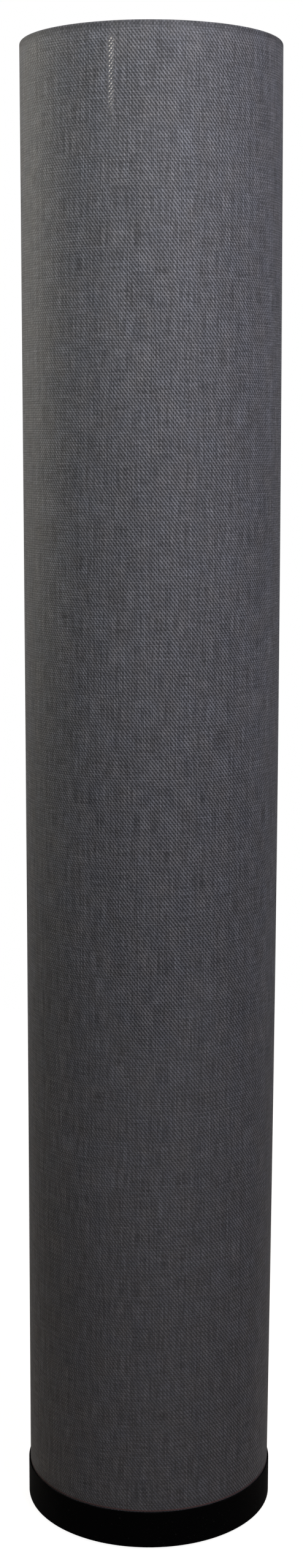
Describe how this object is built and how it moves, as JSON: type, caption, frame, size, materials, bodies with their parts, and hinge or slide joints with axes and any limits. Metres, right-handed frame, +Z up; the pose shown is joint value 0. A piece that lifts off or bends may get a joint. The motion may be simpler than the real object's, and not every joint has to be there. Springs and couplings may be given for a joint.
{
  "type": "column floor lamp",
  "caption": "Tall round fabric drum standing in the rim of a weighted steel base, with a central stem that carries bulbs inside and the lift-off shade.",
  "frame": {"origin": "on the floor, under the centre of the round base", "axes": "+Z up along the lamp's axis; +Y towards the back, where the cord inlet is; +X to the right seen from the front"},
  "size_m": [0.2068, 0.2083, 1.2],
  "materials": {
    "shade_weave": "charcoal linen-look plain weave, matt",
    "backing_film": "white translucent film, glossy",
    "black_steel": "black powder coat, satin",
    "cast_weight": "as cast, sealed with dark paint",
    "zinc_steel": "bright zinc plate",
    "stem_steel": "drawn tube, zinc plated",
    "frame_wire": "white powder coat",
    "finial_metal": "turned, brushed",
    "black_rubber": "moulded, matt",
    "white_nylon": "moulded nylon",
    "lead_sheath": "extruded, smooth",
    "holder_plastic": "moulded, semi-gloss",
    "holder_ceramic": "steatite",
    "contact_brass": "pressed sheet",
    "opal_plastic": "opal, satin",
    "bulb_plastic": "moulded, semi-gloss",
    "board_aluminium": "white solder mask",
    "bulb_cap_nickel": "nickel plate"
  },
  "bodies": {
    "base": {"base_band": "black_steel", "deck_plate": "black_steel", "deck_posts": "zinc_steel", "counterweight": "cast_weight", "bottom_cover": "black_steel", "cover_screws": "zinc_steel", "rubber_feet": "black_rubber", "weight_washer": "zinc_steel", "weight_nut": "zinc_steel", "base_nipple": "zinc_steel", "cord_grommet": "black_rubber", "terminal_block": "white_nylon", "terminal_screws": "zinc_steel", "stem_foot": "black_steel", "stem_lower": "stem_steel", "stem_coupler": "black_steel", "stem_upper": "stem_steel", "shade_stud": "stem_steel", "bracket_lower": "black_steel", "bracket_upper": "black_steel", "grub_screws": "zinc_steel", "lead_grommets": "black_rubber", "lead_lower": "lead_sheath", "lead_upper": "lead_sheath", "holder_nipple_lower": "zinc_steel", "holder_nut_lower": "zinc_steel", "holder_cap_lower": "holder_plastic", "holder_core_lower": "holder_ceramic", "holder_shell_lower": "holder_plastic", "thread_shell_lower": "contact_brass", "centre_contact_lower": "contact_brass", "holder_nipple_upper": "zinc_steel", "holder_nut_upper": "zinc_steel", "holder_cap_upper": "holder_plastic", "holder_core_upper": "holder_ceramic", "holder_shell_upper": "holder_plastic", "thread_shell_upper": "contact_brass", "centre_contact_upper": "contact_brass"},
    "shade": {"shade_fabric": "shade_weave", "shade_film": "backing_film", "top_frame": "frame_wire", "bottom_ring": "frame_wire"},
    "finial": {"finial": "finial_metal"},
    "bulb_lower": {"bulb_globe_lower": "opal_plastic", "bulb_body_lower": "bulb_plastic", "bulb_board_lower": "board_aluminium", "bulb_cap_lower": "bulb_cap_nickel", "bulb_tip_lower": "bulb_cap_nickel"},
    "bulb_upper": {"bulb_globe_upper": "opal_plastic", "bulb_body_upper": "bulb_plastic", "bulb_board_upper": "board_aluminium", "bulb_cap_upper": "bulb_cap_nickel", "bulb_tip_upper": "bulb_cap_nickel"}
  },
  "joints": [
    {"name": "shade_lift", "type": "slide", "parent": "base", "child": "shade", "axis": [0, 0, 1], "range_m": [0, 1.2]},
    {"name": "finial_turn", "type": "hinge", "parent": "shade", "child": "finial", "pos_m": [0, 0, 1.19], "axis": [0, 0, 1], "range_deg": [0, 2160]},
    {"name": "bulb_lower_turn", "type": "hinge", "parent": "base", "child": "bulb_lower", "pos_m": [0.046, 0, 0.34], "axis": [0, 0, 1], "range_deg": [0, 1080]},
    {"name": "bulb_upper_turn", "type": "hinge", "parent": "base", "child": "bulb_upper", "pos_m": [-0.046, 0, 0.76], "axis": [0, 0, 1], "range_deg": [0, 1080]}
  ]
}
